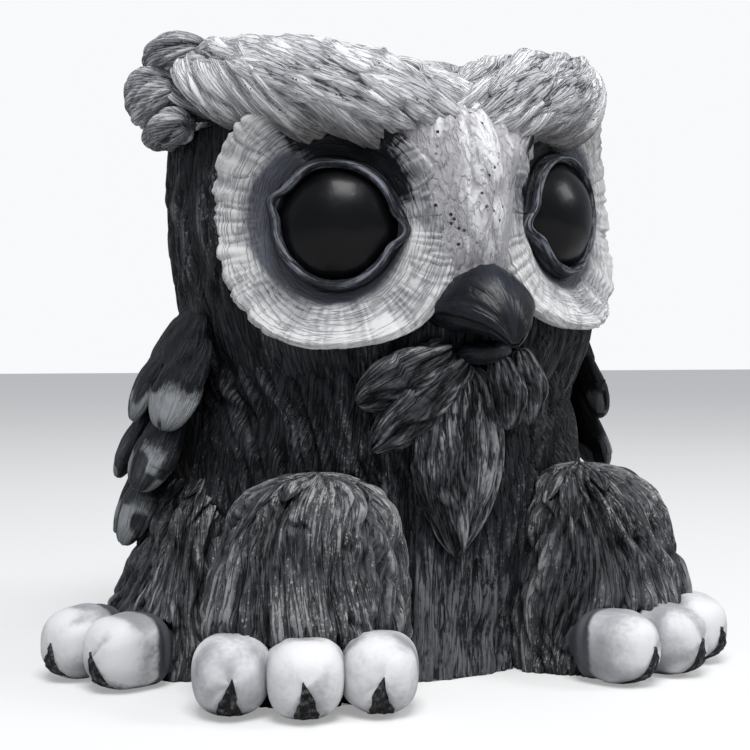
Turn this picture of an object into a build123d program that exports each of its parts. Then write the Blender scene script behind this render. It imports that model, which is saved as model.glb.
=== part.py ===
from build123d import *
import os
from math import cos, radians, sin

# Owl figurine: a squat owl with a round head, two furry forelegs and two hind feet.
# Millimetres. +Z is up and z = 0 is the plane that it stands on. The owl looks along -Y,
# and x = 0, y = 0 lies under the point between its ears. Left and right are the owl's own:
# its left side is +X. Each piece below is one lump that is modelled apart and then pressed
# on, and a piece that is placed later is cut back to the ones before it, so that the two
# meet face to face.

os.makedirs("parts", exist_ok=True)

LEFT = 1
RIGHT = -1
SIDES = {LEFT: "left", RIGHT: "right"}

# ---- driving dimensions -------------------------------------------------------------

# Body: an upright barrel that leans forwards to the neck. Each station is
# (height, inset from the widest section, lean).
body_half_width = 31.5
body_half_depth = 31.0
body_centre_y = 9.5
body_stations = (
    (0.0, 2.0, 0.0),
    (14.0, 0.3, 0.0),
    (28.0, 0.0, 0.0),
    (40.0, 0.6, 1.6),
    (51.0, 2.6, 4.8),
)
neck_height = 44.0

# Head: a barrel with a flat top. Each station is (height above the neck, inset at the
# sides, inset at the front and back).
head_half_width = 32.4
head_half_depth = 31.5
head_centre_y = 4.7
head_stations = (
    (0.0, 2.5, 3.5),
    (8.0, 0.5, 1.5),
    (16.0, 0.0, 0.0),
    (24.0, 0.0, 0.5),
    (31.0, 1.0, 3.0),
)
head_tilt = 4.3
head_turn = 3.0

# Crown: a low dome on the head's flat top, (height above it, inset).
crown_stations = ((0.0, 1.0), (7.0, 5.0), (11.0, 15.0))

# Eyes: balls set in the head, each held by a lid ring that is a margin wider.
eye_radius = 9.3
eye_height = 61.5
eye_bearing = 34.7
eye_facing = 30.0
eye_depth = 3.4
lid_margin = 0.4
lid_front = 5.6
lid_back = 1.5
lid_edge_radius = 0.8

# Face discs: raised shells round the eyes that follow the head. The margin is past the
# eyeball's radius.
disc_margin = 6.2
disc_bearing = 38.0
disc_relief = 1.2

# Brows: thick plumes from the middle of the forehead to the ears.
# (bearing, height above the eyes, standoff from the head, half height, half thickness)
brow_stations = (
    (0.0, 14.0, -6.6, 4.8, 4.2),
    (22.0, 16.2, -6.0, 5.6, 5.6),
    (45.0, 18.8, -4.8, 6.0, 5.8),
    (66.0, 20.2, -4.2, 5.8, 5.4),
    (84.0, 20.6, -3.0, 3.8, 4.0),
)

# Ear tufts: rounded lobes behind each brow's end.
# (name, bearing, height above the eyes, standoff, half height, half width, half thickness)
tuft_lobes = (
    ("upper", 86.0, 25.4, -2.2, 3.2, 6.0, 5.4),
    ("middle", 92.0, 20.6, 0.8, 4.3, 6.2, 5.0),
    ("lower", 86.0, 15.2, -0.6, 2.8, 6.0, 4.6),
)

# Nose bridge: (height above the eyes, half width, front above the head's front).
bridge_root = 6.5
bridge_stations = (
    (-9.0, 6.4, 1.4),
    (-3.5, 6.3, 3.6),
    (1.5, 6.0, 4.0),
    (6.5, 6.0, 1.9),
    (11.5, 7.0, -1.6),
)

# Beak: (reach in front of the head's front, half width, half height, height below the eyes).
beak_stations = (
    (-4.0, 6.4, 4.8, 11.5),
    (1.2, 6.0, 4.7, 11.5),
    (5.2, 4.6, 3.8, 12.6),
    (7.7, 1.6, 1.8, 14.6),
)
lower_beak_stations = (
    (-5.0, 3.8, 1.9, 18.2),
    (0.0, 3.2, 1.6, 18.0),
    (2.6, 1.2, 0.8, 17.6),
)

# Whiskers: two lobes on each side of the beak. Each lobe is
# (name, start bearing, end bearing, start height, end height, half width) on the chin.
whisker_lobes = {
    RIGHT: (("upper", 8.0, 27.0, 43.5, 37.5, 3.0), ("lower", 7.0, 24.0, 40.5, 31.5, 2.8)),
    LEFT: (("upper", 13.0, 20.0, 43.5, 34.0, 2.6), ("lower", 6.5, 11.0, 42.5, 33.5, 2.3)),
}
whisker_half_thickness = 1.9

# Beard: a pointed shield on the chest, (height, half width, half thickness).
beard_offset = -2.2
beard_stations = ((41.5, 4.6, 2.6), (34.0, 6.6, 3.0), (26.0, 4.6, 2.6), (17.2, 0.9, 0.9))

# Forelegs: (height, half width, half depth, how far the centre lies behind the foot's).
foreleg_x = 22.0
foreleg_y = -17.5
foreleg_stations = (
    (0.0, 12.2, 9.6, 0.0),
    (9.0, 13.2, 10.8, 0.0),
    (18.0, 12.6, 10.4, 0.0),
    (25.0, 9.4, 8.0, 0.6),
    (28.6, 4.0, 3.6, 1.2),
)
foot_splay = 22.0

# Toes: (distance behind the tip, half width, half height) of a toe's sections.
toe_stations = (
    (0.5, 2.3, 2.6),
    (2.6, 4.1, 4.5),
    (6.0, 4.4, 4.9),
    (10.0, 3.9, 4.4),
    (14.0, 3.4, 4.0),
)
toe_height = 9.6
toe_spacing = 8.95
side_toe_setback = 2.0
fore_toe_reach = 15.2
fore_toe_names = ("inner", "middle", "outer")

# Claws: wedges let into the front of each toe, with the point up.
claw_height = 5.4
claw_half_width = 1.9
claw_depth = 2.8
claw_relief = 0.25

# Hind feet: two toes each, pointing outwards, under a furry hind leg.
# (height, half width, half depth, how far the centre lies in from the foot's)
hind_leg_x = 33.0
hind_leg_y = 4.0
hind_leg_stations = ((0.0, 9.0, 9.6, 0.0), (9.0, 8.2, 9.2, 0.8), (24.0, 5.4, 7.4, 3.2))
hind_foot_bearing = 65.0
hind_toe_reach = 15.4
hind_toe_names = ("front", "rear")

# Wings: a pad on each flank under rows of round-tipped feathers.
wing_bearing = 108.0
wing_height = 32.5
wing_half_width = 17.0
wing_half_height = 18.0
wing_thickness = 2.6
feather_half_width = 6.1
feather_half_thickness = 1.7
feather_root_standoff = 1.8
# (name, tip height, length, tip standoff, first bearing, number of feathers)
feather_rows = (
    ("scapulars", 41.5, 9.5, 3.4, 84.0, 3),
    ("coverts", 33.5, 13.0, 5.6, 77.0, 4),
    ("secondaries", 25.0, 13.5, 6.4, 82.0, 4),
    ("primaries", 16.0, 14.5, 6.8, 90.0, 3),
)
feather_pitch = 22.0

# Tail: three feathers against the back.
tail_tip_height = 4.0
tail_length = 22.0
tail_standoff = 3.4
tail_half_width = 6.6
tail_pitch = 21.0
tail_count = 3

# ---- shared geometry ----------------------------------------------------------------

# Half the side of a block that reaches past the whole owl, for cutting.
past_owl = 60.0
head_middle = Vector(0, head_centre_y, eye_height)
head_top = neck_height + head_stations[-1][0]
head_pose = (
    Pos(head_middle) * Rot(0, 0, -head_turn) * Rot(0, -head_tilt, 0) * Pos(-head_middle)
)
above_ground = Pos(0, 0, 2 * past_owl) * Box(6 * past_owl, 6 * past_owl, 4 * past_owl)


def on_barrel(centre_y, half_width, half_depth, side, bearing, height):
    """Point on an upright barrel. Bearing 0 is the front and 90 is the given side."""
    turn = radians(bearing)
    return Vector(side * half_width * sin(turn), centre_y - half_depth * cos(turn), height)


def on_head(side, bearing, standoff, height):
    """Point at a standoff from the head's widest section, in the head's own frame."""
    width = head_half_width + standoff
    depth = head_half_depth + standoff
    return on_barrel(head_centre_y, width, depth, side, bearing, height)


def on_body(side, bearing, standoff, height):
    """Point at a standoff from the body's widest section."""
    width = body_half_width + standoff
    depth = body_half_depth + standoff
    return on_barrel(body_centre_y, width, depth, side, bearing, height)


def facing(side, bearing):
    """Level unit direction: bearing 0 looks along -Y and 90 to the given side."""
    turn = radians(bearing)
    return Vector(side * sin(turn), -cos(turn), 0)


def barrel(centre_y, stations):
    """Upright solid through ellipses, each (height, half width, half depth, lean)."""
    rings = [
        Pos(0, centre_y - lean, height) * Ellipse(half_width, half_depth)
        for height, half_width, half_depth, lean in stations
    ]
    return loft(rings)


def plume(points, across, sizes):
    """Solid with elliptic sections along points. across gives each section's width
    direction, and sizes its half width and half thickness."""
    rings = []
    last = len(points) - 1
    for index, point in enumerate(points):
        ahead = points[min(index + 1, last)] - points[max(index - 1, 0)]
        place = Plane(origin=point, x_dir=across[index], z_dir=ahead)
        rings.append(place * Ellipse(*sizes[index]))
    return loft(rings)


def ellipsoid(centre, half_sizes, turn):
    """Ellipsoid with its half sizes along X, Y and Z, turned about Z."""
    return Pos(centre) * Rot(0, 0, turn) * scale(Sphere(1), by=half_sizes)


# ---- assembly: a later piece is cut back to the earlier ones -------------------------

placed = []


def boxes_meet(first, second):
    """True where two bounding boxes overlap."""
    return all(
        low_a < high_b and low_b < high_a
        for low_a, high_a, low_b, high_b in (
            (first.min.X, first.max.X, second.min.X, second.max.X),
            (first.min.Y, first.max.Y, second.min.Y, second.max.Y),
            (first.min.Z, first.max.Z, second.min.Z, second.max.Z),
        )
    )


def main_solid(shape):
    """The largest solid of a shape."""
    return max(shape.solids(), key=lambda solid: solid.volume)


def seat(solid):
    """Cut a solid at the ground and where it meets the pieces that are placed."""
    box = solid.bounding_box()
    if box.min.Z < 0:
        solid = main_solid(solid & above_ground)
        box = solid.bounding_box()
    for other, other_box in placed:
        if boxes_meet(box, other_box):
            solid = main_solid(solid - other)
    return solid


def place(node, solids):
    """Seat each solid of a node, remember it and write the node."""
    seated = []
    for solid in solids:
        seated.append(seat(main_solid(solid)))
        placed.append((seated[-1], seated[-1].bounding_box()))
    shape = seated[0] if len(seated) == 1 else Compound(children=seated)
    export_step(shape, f"parts/{node}.step")


# ---- pieces --------------------------------------------------------------------------


def eye_frame(side):
    """Frame at an eyeball's centre, with Z along the way that it looks."""
    centre = on_head(side, eye_bearing, -eye_depth, eye_height)
    return Plane(origin=centre, x_dir=(0, 0, 1), z_dir=facing(side, eye_facing))


def make_eye(side):
    return head_pose * (eye_frame(side) * Sphere(eye_radius))


def make_eyelid(side):
    """Ring round the eyeball, which its seat cuts to the ball."""
    height = lid_front - lid_back
    ring = Pos(0, 0, lid_back + height / 2) * Cylinder(eye_radius + lid_margin, height)
    front_edge = ring.edges().sort_by(Axis.Z)[-1]
    ring = fillet(front_edge, lid_edge_radius)
    return head_pose * (eye_frame(side) * ring)


def make_claw(tip, bearing, side):
    """Wedge in a toe's front, which is the toe grown by the claw's relief."""
    ahead = facing(side, bearing)
    outline = Plane(origin=tip - ahead * claw_depth, x_dir=(-ahead.Y, ahead.X, 0), z_dir=ahead)
    corners = (
        (-claw_half_width, -claw_relief),
        (claw_half_width, -claw_relief),
        (0.0, claw_height),
    )
    wedge = extrude(outline * Polygon(*corners, align=None), claw_depth + claw_relief)
    return main_solid(wedge & make_toe(tip, bearing, side, claw_relief))


def make_toe(tip, bearing, side, grow=0.0):
    """Rounded toe that runs back from its tip, level with the ground."""
    ahead = facing(side, bearing)
    across = Vector(-ahead.Y, ahead.X, 0)
    middle = Vector(0, 0, toe_height / 2 - 0.1)
    points = [tip + middle - ahead * (back - grow) for back, _, _ in toe_stations]
    sizes = [(width + grow, height + grow) for _, width, height in toe_stations]
    return plume(points, [across] * len(points), sizes)


def toe_tips(side, ankle, bearing, reach, count):
    """Tips of a foot's toes, from the inner or front one outwards."""
    ahead = facing(side, bearing)
    across = facing(side, bearing + 90)
    middle = (count - 1) / 2
    tips = []
    for number in range(count):
        steps = number - middle
        setback = side_toe_setback * int(abs(steps))
        tips.append(ankle + ahead * (reach - setback) + across * (steps * toe_spacing))
    return tips


def make_foot(side, prefix, names, ankle, bearing, reach):
    """One foot's claws, then its toes."""
    tips = toe_tips(side, ankle, bearing, reach, len(names))
    place(f"{prefix}_claws_{SIDES[side]}", [make_claw(tip, bearing, side) for tip in tips])
    for name, tip in zip(names, tips):
        place(f"{prefix}_toe_{name}_{SIDES[side]}", [make_toe(tip, bearing, side)])


def make_leg(side, centre_x, centre_y, stations, turn, inward):
    """Furry leg: an upright solid that leans along inward as it rises."""
    rings = []
    for height, half_width, half_depth, lean in stations:
        centre = Vector(side * centre_x, centre_y, height) + inward * lean
        rings.append(Pos(centre) * Rot(0, 0, side * turn) * Ellipse(half_width, half_depth))
    return loft(rings)


def body_barrel(grow):
    """The body's solid up into the head, grown sideways by a relief."""
    stations = [
        (height, body_half_width - inset + grow, body_half_depth - inset + grow, lean)
        for height, inset, lean in body_stations
    ]
    return barrel(body_centre_y, stations)


def make_body():
    """Barrel that ends at the neck, on the head's tilted underside."""
    over_neck = head_pose * Pos(0, 0, neck_height + past_owl) * Box(4 * past_owl, 4 * past_owl, 2 * past_owl)
    return body_barrel(0.0) - over_neck


def head_barrel(grow):
    """The head's solid, grown sideways by a relief."""
    width = head_half_width + grow
    depth = head_half_depth + grow
    stations = [
        (neck_height + height, width - sides, depth - front, 0.0)
        for height, sides, front in head_stations
    ]
    return barrel(head_centre_y, stations)


def make_crown():
    """Dome on the head's flat top."""
    _, sides, front = head_stations[-1]
    width = head_half_width - sides
    depth = head_half_depth - front
    stations = [
        (head_top + height, width - inset, depth - inset, 0.0)
        for height, inset in crown_stations
    ]
    return head_pose * barrel(head_centre_y, stations)


def make_brow(side):
    """Plume along the brow. Its first section lies in the owl's middle plane."""
    points = [
        on_head(side, bearing, standoff, eye_height + rise)
        for bearing, rise, standoff, _, _ in brow_stations
    ]
    sizes = [(half_height, thick) for _, _, _, half_height, thick in brow_stations]
    rings = [Plane(origin=points[0], x_dir=(0, 0, 1), z_dir=(side, 0, 0)) * Ellipse(*sizes[0])]
    for index in range(1, len(points)):
        ahead = points[min(index + 1, len(points) - 1)] - points[index - 1]
        section = Plane(origin=points[index], x_dir=(0, 0, 1), z_dir=ahead)
        rings.append(section * Ellipse(*sizes[index]))
    return head_pose * loft(rings)


def make_tuft(side, bearing, rise, standoff, half_height, half_width, half_thickness):
    centre = on_head(side, bearing, standoff, eye_height + rise)
    lobe = ellipsoid(centre, (half_thickness, half_width, half_height), side * (bearing - 90))
    return head_pose * lobe


def make_bridge():
    """Ridge between the eyes, from the brows down to the beak."""
    front = head_centre_y - head_half_depth
    rings = []
    for rise, half_width, proud in bridge_stations:
        middle = Vector(0, front + bridge_root, eye_height + rise)
        rings.append(Pos(middle) * Ellipse(half_width, bridge_root + proud))
    return head_pose * loft(rings)


def make_beak(stations):
    """Beak half: a solid that narrows forwards."""
    front = head_centre_y - head_half_depth
    points = [Vector(0, front - reach, eye_height - drop) for reach, _, _, drop in stations]
    sizes = [(half_width, half_height) for _, half_width, half_height, _ in stations]
    return head_pose * plume(points, [Vector(1, 0, 0)] * len(points), sizes)


def make_disc(side):
    """Shell on the head, inside a round outline about the disc's own axis."""
    start = Vector(0, head_centre_y, eye_height)
    outline = Plane(origin=start, x_dir=(0, 0, 1), z_dir=facing(side, disc_bearing))
    prism = extrude(outline * Circle(eye_radius + disc_margin), past_owl)
    shell = head_barrel(disc_relief) - head_barrel(0.0)
    return head_pose * main_solid(prism & shell)


def make_whisker(side, first, last, start, end, half_width):
    """Drooping lobe on the chin, narrow at the beak and round at its end."""
    count = 4
    points = []
    for number in range(count):
        share = number / (count - 1)
        bearing = first + (last - first) * share
        height = start + (end - start) * share
        points.append(on_body(side, bearing, 0.9 - 0.5 * share, height))
    grow = (0.55, 0.95, 1.0, 0.35)
    sizes = [(half_width * part, whisker_half_thickness * part) for part in grow]
    normals = [Vector(point.X, point.Y - body_centre_y, 0) for point in points]
    ahead = points[-1] - points[0]
    across = [ahead.cross(normal) for normal in normals]
    return plume(points, across, sizes)


def make_beard():
    """Pointed shield down the chest."""
    points = []
    for height, _, _ in beard_stations:
        chest = body_centre_y - body_half_depth
        points.append(Vector(beard_offset, chest, height))
    sizes = [(half_width, thick) for _, half_width, thick in beard_stations]
    return plume(points, [Vector(1, 0, 0)] * len(points), sizes)


def make_feather(side, bearing, tip_height, length, root_standoff, tip_standoff, half_width):
    """Feather that lies on the body and stands off at its round tip."""
    shares = (0.0, 0.45, 0.85, 1.0)
    grow = (0.55, 1.0, 0.8, 0.3)
    points = []
    for share in shares:
        standoff = root_standoff + (tip_standoff - root_standoff) * share
        points.append(on_body(side, bearing, standoff, tip_height + length * (1 - share)))
    sizes = [(half_width * part, feather_half_thickness * part) for part in grow]
    across = [facing(side, bearing + 90)] * len(points)
    return plume(points, across, sizes)


def make_wing_pad(side):
    """Shell on the body, inside an oval outline on the flank."""
    start = Vector(0, body_centre_y, wing_height)
    outline = Plane(origin=start, x_dir=(0, 0, 1), z_dir=facing(side, wing_bearing))
    prism = extrude(outline * Ellipse(wing_half_height, wing_half_width), past_owl)
    shell = body_barrel(wing_thickness) - body_barrel(0.0)
    return main_solid(prism & shell)


# ---- the owl -------------------------------------------------------------------------

for side, label in SIDES.items():
    place(f"eye_{label}", [make_eye(side)])
for side, label in SIDES.items():
    place(f"eyelid_{label}", [make_eyelid(side)])

for side, label in SIDES.items():
    fore_ankle = Vector(side * foreleg_x, foreleg_y, 0)
    make_foot(side, "fore", fore_toe_names, fore_ankle, foot_splay, fore_toe_reach)
    hind_ankle = Vector(side * hind_leg_x, hind_leg_y, 0)
    make_foot(side, "hind", hind_toe_names, hind_ankle, hind_foot_bearing, hind_toe_reach)

place("body", [make_body()])
place("head", [head_pose * head_barrel(0.0)])

for side, label in SIDES.items():
    inward = Vector(0, 1, 0)
    leg = make_leg(side, foreleg_x, foreleg_y, foreleg_stations, foot_splay, inward)
    place(f"foreleg_{label}", [leg])

place("beak_upper", [make_beak(beak_stations)])
place("beak_lower", [make_beak(lower_beak_stations)])
for side, label in SIDES.items():
    place(f"brow_{label}", [make_brow(side)])
place("crown_feathers", [make_crown()])
place("nose_bridge", [make_bridge()])
for side, label in SIDES.items():
    place(f"face_disc_{label}", [make_disc(side)])
    for name, *sizes in tuft_lobes:
        place(f"ear_tuft_{name}_{label}", [make_tuft(side, *sizes)])

place("beard", [make_beard()])
for side, label in SIDES.items():
    for name, *sizes in whisker_lobes[side]:
        place(f"whisker_{name}_{label}", [make_whisker(side, *sizes)])

for side, label in SIDES.items():
    place(f"wing_pad_{label}", [make_wing_pad(side)])
    for name, tip_height, length, standoff, first, count in feather_rows:
        bearings = [first + number * feather_pitch for number in range(count)]
        shape = (tip_height, length, feather_root_standoff, standoff, feather_half_width)
        place(f"{name}_{label}", [make_feather(side, turn, *shape) for turn in bearings])

for side, label in SIDES.items():
    inward = Vector(-side, 0, 0)
    leg = make_leg(side, hind_leg_x, hind_leg_y, hind_leg_stations, 0.0, inward)
    place(f"hind_leg_{label}", [leg])

tail_first = 180 - (tail_count - 1) / 2 * tail_pitch
tail_shape = (tail_tip_height, tail_length, 0.0, tail_standoff, tail_half_width)
tail_bearings = [tail_first + number * tail_pitch for number in range(tail_count)]
place("tail_feathers", [make_feather(LEFT, turn, *tail_shape) for turn in tail_bearings])
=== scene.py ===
# %% [markdown]
# # A hand-painted owl figurine
# The real owl is a small resin figure. Somebody pressed it together from lumps of clay,
# drew the fur into it with a loop tool, cast it, painted it near black, and dragged an
# almost dry brush of pale paint over the ridges. The CAD model holds every lump as a
# smooth solid. This lesson makes the same lumps again as fine surfaces: each is a tube of
# rings worked out with numpy, pushed in and out by a stroke pattern, and the same pattern
# is kept on the surface as an attribute, so that the paint knows where the ridges are.

# %% Load the frame
import bpy
import numpy as np
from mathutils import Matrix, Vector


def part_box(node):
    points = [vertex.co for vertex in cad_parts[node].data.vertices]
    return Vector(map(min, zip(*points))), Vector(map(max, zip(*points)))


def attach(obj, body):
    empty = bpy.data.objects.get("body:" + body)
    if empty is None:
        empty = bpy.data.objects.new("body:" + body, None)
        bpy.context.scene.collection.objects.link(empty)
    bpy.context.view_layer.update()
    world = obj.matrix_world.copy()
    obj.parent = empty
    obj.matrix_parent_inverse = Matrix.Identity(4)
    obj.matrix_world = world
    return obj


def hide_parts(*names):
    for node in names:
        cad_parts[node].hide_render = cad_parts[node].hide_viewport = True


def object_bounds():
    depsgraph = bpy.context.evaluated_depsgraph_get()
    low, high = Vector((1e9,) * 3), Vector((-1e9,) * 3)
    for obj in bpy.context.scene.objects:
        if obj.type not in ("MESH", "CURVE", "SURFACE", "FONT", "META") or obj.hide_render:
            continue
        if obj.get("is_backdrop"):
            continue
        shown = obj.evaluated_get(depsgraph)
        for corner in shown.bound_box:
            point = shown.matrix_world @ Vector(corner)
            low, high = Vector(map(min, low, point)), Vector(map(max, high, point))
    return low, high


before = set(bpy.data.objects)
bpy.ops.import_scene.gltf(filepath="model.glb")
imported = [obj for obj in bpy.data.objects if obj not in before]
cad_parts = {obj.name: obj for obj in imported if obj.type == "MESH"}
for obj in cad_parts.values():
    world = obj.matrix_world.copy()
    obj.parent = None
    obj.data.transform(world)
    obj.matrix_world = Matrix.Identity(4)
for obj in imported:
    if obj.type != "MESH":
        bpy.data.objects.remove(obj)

cad_low, cad_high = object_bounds()
MM = 0.001
SIDES = {1: "left", -1: "right"}
print("CAD box", cad_low, cad_high, "nodes", len(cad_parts))

# %% [markdown]
# ## Where things are
# All positions come from the CAD nodes' boxes. The shapes below are worked out in
# millimetres, and are turned to metres only when a mesh is written. The owl looks along
# -Y, and its left side is +X.

# %% Boxes in millimetres
def corners(node):
    """Lowest and highest corner of a CAD node, in millimetres."""
    low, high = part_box(node)
    return np.array(low) / MM, np.array(high) / MM


def middle(node):
    """Middle of a CAD node's box, in millimetres."""
    return sum(corners(node)) / 2


def unit(vectors):
    """Vectors divided by their lengths."""
    length = np.linalg.norm(vectors, axis=-1, keepdims=True)
    return vectors / np.maximum(length, 1e-9)


def grid_points(x, y, z):
    """Points from three coordinate arrays that broadcast to one grid."""
    return np.stack(np.broadcast_arrays(x, y, z), -1)


# %% [markdown]
# The head is tilted and turned a little, so it gets its own frame. The two eyeballs are
# mirror images in it: the line between them is its x axis, and its y axis stays level.

# %% The head's frame
eyes = {side: middle(f"eye_{label}") for side, label in SIDES.items()}
eye_low, eye_high = corners("eye_left")
eye_radius = (eye_high - eye_low)[0] / 2
head_x = unit(eyes[1] - eyes[-1])
head_y = unit(np.cross((0, 0, 1), head_x))
head_z = np.cross(head_x, head_y)
head_axes = np.stack([head_x, head_y, head_z])
eyes_middle = (eyes[1] + eyes[-1]) / 2
eye_reach = (middle("head") - eyes_middle) @ head_y
head_axis = eyes_middle + head_y * eye_reach
head_low, head_high = corners("head")
TILT_GROWTH = 0.992  # the head's tilt makes its box a little wider than its barrel
head_wide, head_deep = (head_high - head_low)[:2] / 2 * TILT_GROWTH
eye_bearing = np.arctan2(np.linalg.norm(eyes[1] - eyes[-1]) / 2, eye_reach)


def from_head(points):
    """Points given in the head's frame, measured from its axis at the eyes' height."""
    return head_axis + points @ head_axes


print("head tilt", np.degrees(np.arcsin(head_x[2])), "eye bearing", np.degrees(eye_bearing))

# %% The body's barrel
body_low, body_high = corners("body")
body_wide = (body_high - body_low)[0] / 2
body_deep = body_wide - 0.5
body_y = body_high[1] - body_deep - 0.2
print("body half width", body_wide, "axis y", body_y)

# %% [markdown]
# ## Strokes
# A loop tool leaves long swaying grooves with rounded clay between them. Smooth noise,
# stretched along the stroke, has long level lines. Folding it at its middle value turns
# those lines into sharp valleys: that is the whole stroke pattern. Three sizes of it, from
# broad locks to fine hairs, make fur.

# %% Smooth noise
def noise(u, v, seed, around=0):
    """Random values on a square lattice, blended by 3f^2 - 2f^3 between the corners.
    With around, the lattice repeats after that many cells in u."""
    size = 256
    lattice = np.random.default_rng(seed).random((size, size))
    period = around or size
    cell_u = np.floor(u).astype(int)
    cell_v = np.floor(v).astype(int)
    part_u = u - cell_u
    part_v = v - cell_v
    part_u = part_u * part_u * (3 - 2 * part_u)
    part_v = part_v * part_v * (3 - 2 * part_v)
    low_u, high_u = cell_u % period % size, (cell_u + 1) % period % size
    low_v, high_v = cell_v % size, (cell_v + 1) % size
    low = lattice[low_u, low_v] * (1 - part_u) + lattice[high_u, low_v] * part_u
    high = lattice[low_u, high_v] * (1 - part_u) + lattice[high_u, high_v] * part_u
    return low * (1 - part_v) + high * part_v


FOLD_GAIN, FOLD_BEND = 1.8, 0.85
SWAY = 2.6
# Share of the height, stroke width and length in millimetres, and seed step, for locks,
# hairs and fine hairs.
FUR = ((0.3, 4.6, 26, 0), (0.35, 2.2, 14, 11), (0.35, 1.15, 8, 23))


def strokes(across, along, width, length, seed, around=0.0):
    """min(FOLD_GAIN |2n - 1|, 1)^FOLD_BEND of noise n: 0 in a groove and 1 on a ridge.
    across and along are millimetres on the surface. n sways by SWAY stroke widths. With
    around, across closes after that distance."""
    cells = max(3, round(around / width)) if around else 0
    u = across / around * cells if around else across / width
    broad = max(2, cells // 5) if around else 0
    broad_u = across / around * broad if around else u / 5
    sway = (noise(broad_u, along / length * 1.6, seed + 1, broad) - 0.5) * SWAY
    value = noise(u + sway, along / length + 0.3 * sway, seed, cells)
    return np.minimum(FOLD_GAIN * np.abs(2 * value - 1), 1) ** FOLD_BEND


def fur(across, along, seed, around=0.0, size=1.0):
    """Sum of share x strokes over the three rows of FUR."""
    return sum(share * strokes(across, along, wide * size, long * size, seed + step, around)
               for share, wide, long, step in FUR)


# %% [markdown]
# ## Tubes
# Every lump is a closed tube: rings of points, one after another, with the first and last
# ring filled in. That one form makes a barrel, a leg, a feather, a crescent and a ball.

# %% Curves and outlines
def through(knots, count):
    """Smooth curve through knots (Catmull-Rom): between two knots it is the cubic whose
    slope at each knot is half the step between that knot's two neighbours."""
    knots = np.asarray(knots, float)
    ends = np.vstack([2 * knots[0] - knots[1], knots, 2 * knots[-1] - knots[-2]])
    place = np.linspace(0, len(knots) - 1, count)
    first = np.minimum(place.astype(int), len(knots) - 2)
    part = (place - first)[:, None]
    a, b, c, d = ends[first], ends[first + 1], ends[first + 2], ends[first + 3]
    curve = 2 * b + (c - a) * part + (2 * a - 5 * b + 4 * c - d) * part**2
    return 0.5 * (curve + (3 * b - a - 3 * c + d) * part**3)


def outline(share, widest=0.4, root=0.45, tip=0.5):
    """Half width of a lobe along its length: (s / widest)^root up to its widest place,
    then (1 - s'^2)^tip, which is round for a tip of 0.5 and pointed for 1 or more."""
    rise = np.clip(share / widest, 0, 1) ** root
    fall = (1 - np.clip((share - widest) / (1 - widest), 0, 1) ** 2) ** tip
    return np.maximum(rise * fall, 0.02)


def smooth(value, low, high):
    """0 below low, 1 above high and 3t^2 - 2t^3 between."""
    part = np.clip((value - low) / (high - low), 0, 1)
    return part * part * (3 - 2 * part)


def bell(value, width):
    """exp(-(value / width)^2), a bump that is 1 where the value is 0."""
    return np.exp(-((value / width) ** 2))


def bent(value, power):
    """sign(v) |v|^power, which squares off or sharpens a sine."""
    return np.sign(value) * np.abs(value) ** power


# %% Tube surfaces
def normals(points):
    """Outward unit normals of a grid of rings: the cross product of its two steps."""
    around = np.roll(points, -1, 1) - np.roll(points, 1, 1)
    along = np.gradient(points, axis=0)
    normal = unit(np.cross(around, along))
    outward = points - points.mean(1, keepdims=True)
    return normal if (normal * outward).sum() > 0 else -normal


def tube_faces(rows, columns, loop):
    """Quads between neighbouring rings. A loop joins its last ring to its first, and any
    other tube gets a strip of quads across each end ring."""
    ring = np.arange(columns)
    starts = np.arange(rows if loop else rows - 1)[:, None] * columns
    total = rows * columns
    here, beside = starts + ring, starts + np.roll(ring, -1)
    band = np.stack([here, beside, (beside + columns) % total, (here + columns) % total], -1)
    band = band.reshape(-1, 4)
    if loop:
        return band
    step = np.arange(columns // 2 - 1)
    strip = np.stack([step, step + 1, columns - 2 - step, columns - 1 - step], -1)
    return np.concatenate([band, strip[:, ::-1], strip + total - columns])


def tube(points, crest, zone=0.0, grain=None, loop=False):
    """A tube's points with what the paint reads: crest is 0 in a groove and 1 on a ridge, zone is 1
    where the finish's zone colour lies, which is painted shade on some pieces and a second paint colour
    on others, and grain is (across, along) in millimetres."""
    shape = points.shape[:2]
    if grain is None:
        steps = np.linalg.norm(np.diff(points, axis=0), axis=-1).mean(1)
        along = np.concatenate([[0], np.cumsum(steps)])[:, None]
        girth = np.linalg.norm(np.diff(points, axis=1), axis=-1).sum(1).max()
        grain = (np.linspace(0, girth, shape[1])[None, :], along)
    across, along = np.broadcast_to(grain[0], shape), np.broadcast_to(grain[1], shape)
    faces = tube_faces(*shape, loop)
    flat = points.reshape(-1, 3)
    corner = flat[faces] - flat.mean(0)
    volume = (np.cross(corner[:, 0], corner[:, 1]) * corner[:, 2]).sum()
    volume += (np.cross(corner[:, 0], corner[:, 2]) * corner[:, 3]).sum()
    return {
        "points": flat,
        "faces": faces if volume > 0 else faces[:, ::-1],
        "crest": np.broadcast_to(crest, shape).ravel(),
        "zone": np.broadcast_to(zone, shape).ravel(),
        "grain": np.stack([across, along, np.zeros(shape)], -1).reshape(-1, 3),
    }


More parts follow.
